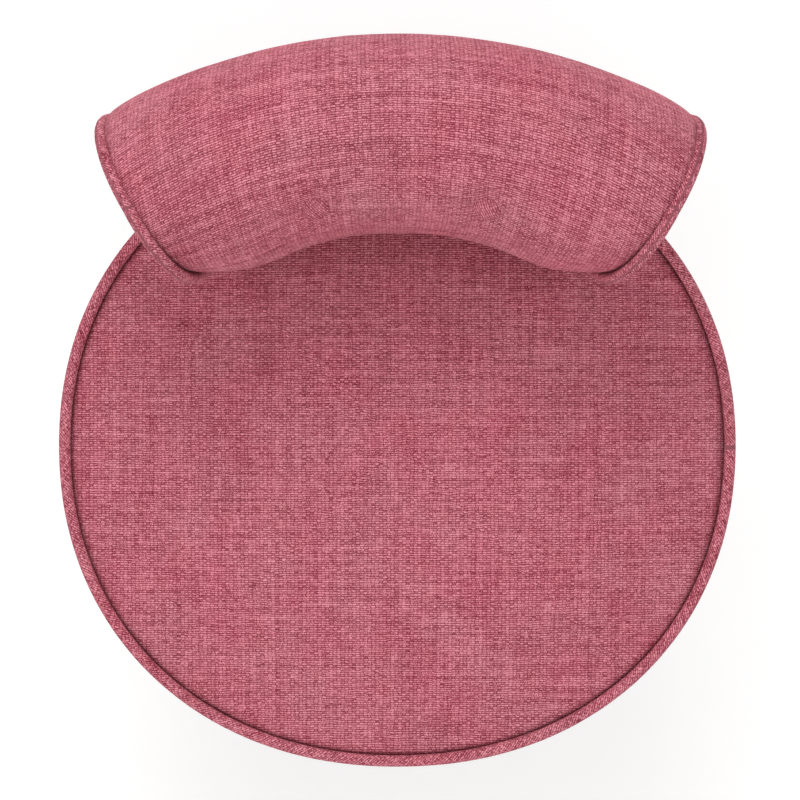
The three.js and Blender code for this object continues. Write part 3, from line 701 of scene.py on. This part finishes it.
def section_spot(turn, inset):
    """(outward, rise) round the back's section: round above the shoulder, squarer below it."""
    cosine, sine = math.cos(turn), math.sin(turn)
    reach = back_half - inset
    if sine >= 0:
        return reach * cosine, shoulder_rise + reach * sine
    power = 2 / lower_squareness
    return (
        math.copysign(reach * abs(cosine) ** power, cosine),
        shoulder_rise - (lower_half - inset) * abs(sine) ** power,
    )


def even_section(count, inset):
    """The section at equal steps, from the crest round the inner face: (outward, rise, run)."""
    fine = [section_spot(math.pi / 2 + 2 * math.pi * k / 2400, inset) for k in range(2401)]
    runs = [0.0]
    for before, after in zip(fine, fine[1:]):
        runs.append(runs[-1] + math.dist(before, after))
    even = []
    k = 0
    for step in range(count):
        run = runs[-1] * step / count
        while runs[k + 1] < run:
            k += 1
        part = (run - runs[k]) / (runs[k + 1] - runs[k])
        spot = [a + (b - a) * part for a, b in zip(fine[k], fine[k + 1])]
        even.append((spot[0], spot[1], run))
    return even, runs[-1]


def on_arc(outward, rise, angle, shift=0.0):
    return Vector((
        (arc_radius + outward) * math.sin(angle) + shift * math.cos(angle),
        arc_centre_y + (arc_radius + outward) * math.cos(angle) - shift * math.sin(angle),
        welt_level + rise,
    ))


def lean_at(rise):
    return (rise - shoulder_rise) * end_lean


def seat_under(place):
    """The height of the seat's cover or welt under a point, or none beyond the seat."""
    across, along = place.x, place.y - axis_y
    radius = math.hypot(across, along) * seat_half_width / seat_reach(math.atan2(along, across))
    if radius < panel_radius:
        return welt_level + crown * (1 - (radius / panel_radius) ** crown_power)
    if radius < seat_half_width + 0.001:
        return welt_level + welt_thickness / 2
    return 0.0


def above_seat(place, room=seat_to_back):
    return Vector((place.x, place.y, max(place.z, seat_under(place) + room)))


def button_seat(side):
    """The place of a button on the inner shoulder, and the way it faces."""
    outward, rise = section_spot(button_slope, 0.0)
    angle = math.asin(side * button_spacing / 2 / (arc_radius + outward))
    facing = Vector((
        math.cos(button_slope) * math.sin(angle),
        math.cos(button_slope) * math.cos(angle),
        math.sin(button_slope),
    ))
    return on_arc(outward, rise, angle), facing, angle


inner_trim = 0.0065
inner_flare = 0.0040
end_stand = 0.0022


def sleeve_swell(outward, rise, angle, from_end):
    """How far the foam pushes the sleeve out, or the seams draw it in, square to the section."""
    inner = max(0.0, -outward / back_half)
    bulge = math.exp(-((abs(angle) - math.radians(21)) / math.radians(6.5)) ** 2)
    high = 1.0 if rise > shoulder_rise else max(0.0, 1 - (shoulder_rise - rise) / 0.09)
    drawn = 0.0032 * math.exp(-from_end / 0.014) + 0.0044 * math.exp(-from_end / 0.0024)
    low = max(0.0, shoulder_rise - rise) / lower_half
    return inner * high * (0.0066 * bulge - 0.0040) - inner * (
        inner_trim * math.exp(-from_end / 0.022) + 0.005 * math.exp(-from_end / 0.012)
        + 0.030 * low ** 2.5) - drawn


sleeve_rows = 132
section, section_run = even_section(120, 0.0)
sleeve_spots = []
held = []
for row in range(sleeve_rows + 1):
    share = 2 * row / sleeve_rows - 1
    share = math.copysign(1 - (1 - abs(share)) ** 1.3, share)
    angle = share * end_angle
    for k, (outward, rise, run) in enumerate(section):
        shift = share * (
            end_stand + lean_at(rise) - sleeve_end + inner_flare * max(0.0, -outward / back_half))
        before, after = section[k - 1], section[(k + 1) % len(section)]
        across = Vector((before[1] - after[1], after[0] - before[0])).normalized() * -1
        from_end = (1 - abs(share)) * end_angle * (arc_radius + outward)
        swell = sleeve_swell(outward, rise, angle, from_end)
        pucker = 0.00022 * math.sin(run * 640) * math.exp(-from_end / 0.006)
        place = on_arc(
            outward + across.x * (swell + pucker), rise + across.y * (swell + pucker), angle, shift)
        for side in (-1, 1):
            seat, facing, _ = button_seat(side)
            place -= facing * 0.0032 * math.exp(-((place - seat).length / 0.0125) ** 2)
        if above_seat(place).z > place.z + 1e-6 or from_end < 0.006:
            held.append(len(sleeve_spots))
        place = above_seat(place, seat_to_back + 0.0003)
        turned_run = run if run < section_run / 2 else run - section_run
        threads = (angle * (arc_radius + 0.5 * outward), -turned_run, 1.3)
        # Painted shade: the sleeve darkens toward its ends, in the fold beside the end welts.
        sleeve_spots.append((place, threads, math.exp(-(from_end / 0.0046) ** 2)))
sleeve_faces = [
    tuple(reversed(face)) for face in strip(sleeve_rows + 1, len(section), closed=True)
    if not (
        in_post_slit(face_middle(sleeve_spots, face), 0.006)
        and sleeve_spots[face[0]][0].z < welt_level + 0.05
    )
]
sleeve = cloth_piece("back_sleeve", sleeve_spots, sleeve_faces)
settle(sleeve, held, 0.002, 1.5)
thicken(sleeve, cloth_thickness)
fit(sleeve, linen, "seat", "rose_fabric", "back_cover", "back_foam")


# ---- Back end panels and their welts ----
# Each end of the back is closed by a padded panel of the linen, cut to the section, with the same
# covered piping sewn round it. The ends lean outward, so that the welts stand out from above.


def end_spot(side, outward, rise, short):
    """A point on the leaning end, trimmed at its inner side, behind the end's outermost line."""
    inner = max(0.0, -outward / back_half)
    low = max(0.0, shoulder_rise - rise) / lower_half
    shift = end_stand + lean_at(rise) - short + inner_flare * inner
    place = on_arc(outward + inner * (inner_trim + 0.030 * low ** 2.5), rise, end_angle, shift)
    return Vector((side * place.x, place.y, place.z))


heart_rise = shoulder_rise - 0.02
panel_reach = 0.07
for side, where in ((-1, "left"), (1, "right")):
    panel_disc, panel_faces = disc(56)
    panel_spots = []
    for share, turn in panel_disc:
        outward, rise = section_spot(turn, 0.0078)
        outward, rise = outward * share, heart_rise + (rise - heart_rise) * share
        edge = (1 - share) * panel_reach
        dome = 0.0040 * (1 - share ** 2.4)
        tuck = 0.0016 * math.exp(-edge / 0.0022)
        place = above_seat(end_spot(side, outward, rise, 0.0065 - dome + tuck))
        # Painted shade: the panel darkens toward its edge, in the fold inside its welt.
        panel_spots.append(
            (place, (outward * side, rise, 2.0 + side * 0.3), math.exp(-(edge / 0.0022) ** 2)))
    if side > 0:
        panel_faces = [tuple(reversed(face)) for face in panel_faces]
    panel = cloth_piece("back_end_panel_cloth_" + where, panel_spots, panel_faces)
    thicken(panel, cloth_thickness)
    fit(panel, linen, "seat", "rose_fabric", "back_end_panel_" + where)

    welt_section, _ = even_section(260, welt_thickness / 2)
    centres = [
        above_seat(
            end_spot(side, outward, rise, welt_thickness / 2),
            seat_to_back + welt_thickness / 2)
        for outward, rise, _ in welt_section
    ]
    heart = end_spot(side, 0.0, heart_rise, welt_thickness / 2)
    end_welt = tube(
        "back_end_welt_" + where, centres,
        [(centre - heart).normalized() for centre in centres], welt_thickness / 2,
        flange=math.radians(-135 * side))
    fit(end_welt, linen, "seat", "rose_fabric", "back_welt_" + where)


# ---- Back buttons ----
# Two self-covered buttons, 24 mm across, pulled into the inner shoulder until they are almost
# level with it. Their little rounds of linen lie at a slant to the cover's threads.

button_radius = 0.0112
for side, where in ((-1, "left"), (1, "right")):
    seat, facing, angle = button_seat(side)
    sideways = Vector((math.cos(angle), -math.sin(angle), 0))
    upward = facing.cross(sideways)
    button_disc, button_faces = disc(28)
    button_spots = []
    for share, turn in button_disc:
        across = share * button_radius * math.cos(turn)
        up = share * button_radius * math.sin(turn)
        level = -0.0006 - 0.0012 * share ** 2 - 0.0030 * share ** 12
        place = seat + sideways * across + upward * up + facing * level
        threads = (across * 0.5 - up * 0.87, across * 0.87 + up * 0.5, 3.0 + side * 0.4)
        # Painted shade: the cap darkens toward its rim, where it sinks into the shoulder.
        button_spots.append((place, threads, 0.35 * share ** 3))
    if facing.dot(sideways.cross(upward)) < 0:
        button_faces = [tuple(reversed(face)) for face in button_faces]
    button = cloth_piece("back_button_cap_" + where, button_spots, button_faces)
    thicken(button, 0.0012)
    fit(button, linen, "seat", "rose_fabric", "back_button_" + where)


# ---- Timber inside the back ----
# Plywood formers and rails, notched together, with a bent card skin drawn round them. The foam is
# glued to the card. None of it shows once the cover is on.


def wood_group():
    """Timber whose grain runs along the vector's Z: growth rings, fibres and fine dark pores."""
    tree, takes, gives = shader_group(
        "timber grain",
        {"Vector": "Vector", "Ring": "Float", "Pore": "Float", "Early": "Color", "Late": "Color"},
        {"Color": "Color", "Roughness": "Float", "Height": "Float"},
    )

    def stretched(x, y, z):
        return wire(tree, "ShaderNodeVectorMath", {0: takes["Vector"], 1: (x, y, z)},
                    operation="MULTIPLY").outputs[0]

    bend = noise(tree, stretched(9.0, 9.0, 1.6), 1.0, 3.0)
    depth = wire(tree, "ShaderNodeSeparateXYZ", {0: takes["Vector"]}).outputs
    depth = calc(tree, "MULTIPLY_ADD", depth["Y"], 0.6, depth["X"])
    depth = calc(tree, "MULTIPLY_ADD", calc(tree, "SUBTRACT", bend, 0.5), 0.11, depth)
    rings = calc(tree, "FRACT", calc(tree, "DIVIDE", depth, takes["Ring"]))
    fibres = noise(tree, stretched(700.0, 700.0, 14.0), 1.0, 3.0)
    pores = noise(tree, stretched(1500.0, 1500.0, 45.0), 1.0, 1.0)
    pore = wire(tree, "ShaderNodeMapRange", {0: pores, 1: 0.62, 2: 0.72}).outputs[0]
    shade = shaded(tree, 0.5, (rings, 0.55), (fibres, 1.1), (noise(tree, stretched(5, 5, 2), 1.0), 0.9))
    shade = calc(tree, "MULTIPLY_ADD", calc(tree, "MULTIPLY", pore, takes["Pore"]), 0.6, shade)
    tree.links.new(blended(tree, shade, takes["Early"], takes["Late"]), gives["Color"])
    tree.links.new(shaded(tree, 0.4, (fibres, 0.3), (pore, 0.25)), gives["Roughness"])
    tree.links.new(shaded(tree, 0.5, (fibres, 0.4), (pore, -0.8)), gives["Height"])
    return tree


timber = wood_group()


def wood_finish(name, turn, ring, pore, early, late, coat=0.0, ply=False):
    """turn brings the grain's own Z along the board; ply shades the edges' glued layers."""
    made, tree, out = new_material(name)
    place = wire(tree, "ShaderNodeTexCoord", {}).outputs["Object"]
    grain_place = wire(tree, "ShaderNodeMapping", {0: place, "Rotation": turn}).outputs[0]
    look = wire(
        tree, "ShaderNodeGroup",
        {"Vector": grain_place, "Ring": ring, "Pore": pore, "Early": early, "Late": late},
        node_tree=timber,
    ).outputs
    colour = look["Color"]
    if ply:
        level = wire(tree, "ShaderNodeSeparateXYZ", {0: place}).outputs["Z"]
        layer = calc(tree, "PINGPONG", calc(tree, "FLOOR", calc(tree, "DIVIDE", level, 0.0015)), 1.0)
        facing = wire(tree, "ShaderNodeSeparateXYZ", {
            0: wire(tree, "ShaderNodeNewGeometry", {}).outputs["Normal"]}).outputs["Z"]
        edge = calc(tree, "LESS_THAN", calc(tree, "ABSOLUTE", facing), 0.5)
        colour = blended(
            tree, calc(tree, "MULTIPLY", calc(tree, "MULTIPLY", layer, edge), 0.55), colour, late)
    coated(
        tree, out,
        {
            "Base Color": colour, "Roughness": look["Roughness"],
            "Coat Weight": coat, "Coat Roughness": 0.3,
            "Normal": bump(tree, look["Height"], 0.0003, 0.5),
        },
    )
    return made


def fibre_finish(name, scale, low, high, roughness, depth):
    """A felted or cellular material: foam, card or moulded plastic, by its scale and colours."""
    made, tree, out = new_material(name)
    place = wire(tree, "ShaderNodeTexCoord", {}).outputs["Object"]
    fine = noise(tree, place, scale, 4.0)
    broad = noise(tree, place, scale / 30, 2.0)
    coated(
        tree, out,
        {
            "Base Color": blended(tree, shaded(tree, 0.5, (fine, 1.6), (broad, 1.0)), low, high),
            "Roughness": shaded(tree, roughness, (fine, 0.25)),
            "Normal": bump(tree, fine, depth, 0.7),
        },
    )
    return made


def dress(material, slot, *nodes):
    """Gives solids that stay as they are their finish."""
    for name in nodes:
        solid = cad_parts[name]
        solid.data.materials.clear()
        solid.data.materials.append(material)


along_x = (0, math.radians(90), 0)
upright = (0, 0, 0)
birch = wood_finish(
    "birch_plywood", along_x, 0.016, 0.3, (0.62, 0.44, 0.25, 1), (0.42, 0.26, 0.13, 1), ply=True)
beech = wood_finish(
    "beech_posts", upright, 0.009, 0.5, (0.56, 0.34, 0.18, 1), (0.38, 0.20, 0.10, 1))
card = fibre_finish(
    "bent_grey_card", 600.0, (0.22, 0.16, 0.10, 1), (0.42, 0.32, 0.21, 1), 0.85, 0.0002)
dress(
    birch, "plywood", "back_end_former_left", "back_end_former_right", "back_lower_rail",
    "back_upper_rail", "back_middle_former", "seat_board")
dress(card, "card", "back_skin")


# ---- Posts, brackets and bolts ----
# Two beech posts carry the back on the seat board. Each is held by a black steel angle bracket,
# with one zinc-plated bolt into the post and one into the board.

enamel = steel_finish(
    "black_enamelled_steel", 900.0, 0.25, (0.012, 0.012, 0.013, 1), (0.05, 0.05, 0.052, 1),
    metallic=0.3, coat=0.3)
dress(beech, "hardwood", "back_post_left", "back_post_right")
dress(enamel, "black_steel", "post_bracket_left", "post_bracket_right")
dress(
    zinc, "zinc_steel", *[
        f"bracket_{way}_bolt_{side}" for way in ("level", "upright") for side in ("left", "right")])


# ---- Swivel bearing ----
# Two pressed steel plates with balls in a flat cage between them, held together by a flanged
# sleeve through the middle. Four screws fix the upper plate to the seat board, four the lower one
# to the base board.


def hard_mesh(name, spots, faces, sharp):
    """A smooth mesh whose edges stay crisp where they turn by more than sharp degrees."""
    mesh = bpy.data.meshes.new(name)
    mesh.from_pydata(spots, [], faces)
    mesh.shade_smooth()
    mesh.set_sharp_from_angle(angle=math.radians(sharp))
    return link_object(name, mesh)


def ring_faces(pairs, steps):
    """Faces between pairs of (first spot, spots) rings; a ring of one spot closes to a point."""
    faces = []
    for (low, low_count), (high, high_count) in pairs:
        for k in range(steps):
            after = (k + 1) % steps
            if low_count == 1 and high_count > 1:
                faces.append((low, high + after, high + k))
            elif high_count == 1 and low_count > 1:
                faces.append((low + k, low + after, high))
            elif low_count > 1:
                faces.append((low + k, low + after, high + after, high + k))
    return faces


def turned_piece(name, outline, steps=72, soften=0.0006):
    """A solid turned from (radius, level) pairs; a first and last pair on the axis close it."""
    closed = outline[0] == outline[-1]
    if closed:
        outline = outline[:-1]
    spots, rings = [], []
    for radius, level in outline:
        count = steps if radius > 1e-6 else 1
        rings.append((len(spots), count))
        for k in range(count):
            angle = 2 * math.pi * k / steps
            spots.append((radius * math.cos(angle), radius * math.sin(angle), level))
    made = hard_mesh(
        name, spots, ring_faces(zip(rings, rings[1:] + rings[:1] if closed else rings[1:]), steps), 50)
    if soften:
        edge = made.modifiers.new("softened edges", "BEVEL")
        edge.width = soften
        edge.segments = 3
        edge.angle_limit = math.radians(25)
        edge.harden_normals = False
    return made


def place_piece(piece, matrix):
    piece.data.transform(matrix)
    return piece


def merged(name, parts):
    """Several small meshes as one piece."""
    spots, faces = [], []
    for part in parts:
        start = len(spots)
        spots += [tuple(vertex.co) for vertex in part.data.vertices]
        faces += [[start + k for k in face.vertices] for face in part.data.polygons]
        bpy.data.objects.remove(part)
    return hard_mesh(name, spots, faces, 40)


def cross_screw(name, head=0.006, rise=0.003, shank=0.0025, length=0.0165):
    """A pan-headed screw, point down, with a cross recess pressed into its head."""
    steps = 48
    outline = [
        (0.0, -length), (shank, -length + 0.004), (shank, 0.0002), (head, 0.0002),
        (head * 0.99, rise * 0.45), (head * 0.86, rise * 0.8), (head * 0.66, rise * 0.96),
        (head * 0.52, rise), (head * 0.40, rise), (head * 0.28, rise), (head * 0.16, rise), (0.0, rise),
    ]
    spots, rings = [], []
    for radius, level in outline:
        rings.append((len(spots), steps if radius else 1))
        for k in range(rings[-1][1]):
            angle = 2 * math.pi * k / steps
            x, y = radius * math.cos(angle), radius * math.sin(angle)
            pressed = min(abs(x), abs(y)) < head * 0.115 and radius < head * 0.5
            cut = rise * 0.6 * (1 - radius / head) if level == rise and pressed else 0
            spots.append((x, y, level - cut))
    return hard_mesh(name, spots, ring_faces(zip(rings, rings[1:]), steps), 40)


dress(zinc, "zinc_steel", "swivel_lower_plate", "swivel_upper_plate")
for half, body in (("lower", "base"), ("upper", "seat")):
    for corner in ("rear_right", "rear_left", "front_left", "front_right"):
        node = f"{half}_plate_screw_{corner}"
        low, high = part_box(node)
        middle = (low + high) / 2
        head_level = high.z - 0.003 if half == "lower" else low.z + 0.003
        way = Matrix.Translation((middle.x, middle.y, head_level))
        if half == "upper":
            way = way @ Matrix.Rotation(math.pi, 4, "X")
        screw = place_piece(cross_screw(f"bearing_screw_{half}_{corner}"), way)
        fit(screw, zinc, body, "zinc_steel", node)

sleeve_low, sleeve_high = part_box("swivel_pivot_sleeve")
flange = 0.0018
flange_radius = 0.017
sleeve_radius = 0.0117
bore_radius = 0.008
pivot = turned_piece("swivel_pivot_rivet", [
    (bore_radius, sleeve_low.z), (flange_radius, sleeve_low.z),
    (flange_radius, sleeve_low.z + flange), (sleeve_radius, sleeve_low.z + flange),
    (sleeve_radius, sleeve_high.z - flange), (flange_radius, sleeve_high.z - flange),
    (flange_radius, sleeve_high.z), (bore_radius, sleeve_high.z), (bore_radius, sleeve_low.z),
], soften=0.0004)
place_piece(pivot, Matrix.Translation((0, axis_y, 0)))
fit(pivot, zinc, "base", "zinc_steel", "swivel_pivot_sleeve")

cage_low, cage_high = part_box("ball_cage")
ball_level = (cage_low.z + cage_high.z) / 2
race_radius = 0.060
ball_radius = 0.004
cage_half = 0.0008
cage_corners = ((-0.005, -cage_half), (0.005, -cage_half), (0.005, cage_half), (-0.005, cage_half))
cage_parts = [turned_piece(
    "cage_ring",
    [(race_radius + out, ball_level + up) for out, up in cage_corners + cage_corners[:1]],
    steps=96, soften=0)]
ball_turns = [math.pi * j / 14 for j in range(15)]
for k in range(8):
    angle = 2 * math.pi * k / 8
    ball = turned_piece(
        "ball", [(ball_radius * math.sin(turn), -ball_radius * math.cos(turn)) for turn in ball_turns],
        steps=28, soften=0)
    cage_parts.append(place_piece(ball, Matrix.Translation(
        (race_radius * math.cos(angle), race_radius * math.sin(angle), ball_level))))
cage = place_piece(merged("bearing_balls_in_cage", cage_parts), Matrix.Translation((0, axis_y, 0)))
fit(cage, zinc, "bearing", "zinc_steel", "ball_cage")


# ---- Base board ----
# A round board veneered in walnut, with a rounded and lacquered edge. The swivel is screwed to its
# top and the four legs to its underside.

walnut_flat = wood_finish(
    "walnut_veneer", along_x, 0.030, 0.8, (0.150, 0.066, 0.030, 1), (0.052, 0.021, 0.010, 1), coat=0.35)
walnut_legs = wood_finish(
    "turned_walnut", upright, 0.014, 0.9, (0.140, 0.062, 0.028, 1), (0.048, 0.020, 0.010, 1), coat=0.35)
board_low, board_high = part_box("base_board")
board_radius = (board_high.x - board_low.x) / 2
edge_round = 0.004
board_hole = 0.020
flat_reach = board_radius - 0.012
board_outline = [(board_hole, board_low.z), (flat_reach, board_low.z)]
for start, level in ((-90, board_low.z + edge_round), (0, board_high.z - edge_round)):
    for k in range(7):
        turn = math.radians(start + 15 * k)
        board_outline.append((
            board_radius - edge_round + edge_round * math.cos(turn),
            level + edge_round * math.sin(turn)))
board_outline += [(flat_reach, board_high.z), (board_hole, board_high.z), (board_hole, board_low.z)]
base_board = turned_piece("base_board_walnut", board_outline, steps=160, soften=0)
place_piece(base_board, Matrix.Translation((0, axis_y, 0)))
fit(base_board, walnut_flat, "base", "walnut", "base_board")


# ---- Legs, leg plates and glides ----
# Four tapered walnut legs splay outward. Each screws by its hanger bolt into a pressed steel plate
# with four cross-headed screws, and stands on a black plastic glide pinned into its foot.

glide_black = fibre_finish(
    "black_glide_plastic", 1800.0, (0.012, 0.012, 0.013, 1), (0.032, 0.032, 0.034, 1), 0.5, 0.0001)
leg_corners = {"front_right": -45, "rear_right": 45, "rear_left": 135, "front_left": 225}
dress(zinc, "zinc_steel", *["leg_plate_" + corner for corner in leg_corners])
dress(zinc, "zinc_steel", *["hanger_bolt_" + corner for corner in leg_corners])
leg_top_radius = 0.122
splay = math.tan(math.radians(14))
screw_spacing = 0.046
for corner, bearing in leg_corners.items():
    low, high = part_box("leg_" + corner)
    turn = Matrix.Translation((0, axis_y, 0)) @ Matrix.Rotation(math.radians(bearing), 4, "Z")
    length = high.z - low.z
    outline = [(0.0, low.z), (0.0095, low.z), (0.0112, low.z + 0.0006), (0.0120, low.z + 0.0024)]
    for k in range(1, 13):
        part = k / 12
        outline.append((0.0120 + 0.0068 * part ** 0.95, low.z + 0.0024 + (length - 0.035) * part))
    outline += [(0.0190, high.z - 0.018), (0.0190, high.z - 0.0010), (0.0182, high.z), (0.0, high.z)]
    leg = turned_piece("leg_turned_" + corner, outline, steps=56, soften=0.0)
    lean = Matrix.Identity(4)
    lean[0][2] = -splay
    lean[0][3] = high.z * splay + leg_top_radius
    place_piece(leg, turn @ lean)
    fit(leg, walnut_legs, "base", "walnut", "leg_" + corner)

    glide_low, glide_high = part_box("glide_" + corner)
    glide_place = (glide_low + glide_high) / 2
    glide = turned_piece("glide_cap_" + corner, [
        (0.0, 0.0), (0.0088, 0.0), (0.0104, 0.0004), (0.0113, 0.0014), (0.0115, 0.0030),
        (0.0115, 0.0052), (0.0110, 0.0060), (0.0020, 0.0060), (0.0020, 0.0180), (0.0, 0.0180),
    ], steps=56, soften=0)
    place_piece(glide, Matrix.Translation((glide_place.x, glide_place.y, glide_low.z)))
    fit(glide, glide_black, "base", "glide_plastic", "glide_" + corner)

    plate_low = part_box("leg_plate_" + corner)[0]
    for k, (sx, sy) in enumerate(((1, 1), (-1, 1), (-1, -1), (1, -1))):
        way = turn @ Matrix.Translation(
            (leg_top_radius + sx * screw_spacing / 2, sy * screw_spacing / 2, plate_low.z))
        way = way @ Matrix.Rotation(math.pi, 4, "X") @ Matrix.Rotation(0.7 * k + 0.3, 4, "Z")
        screw = cross_screw(
            f"leg_plate_screw_{corner}_{k + 1}", head=0.0045, rise=0.0022, shank=0.0021, length=0.015)
        fit(place_piece(screw, way), zinc, "base", "zinc_steel")

low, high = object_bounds()
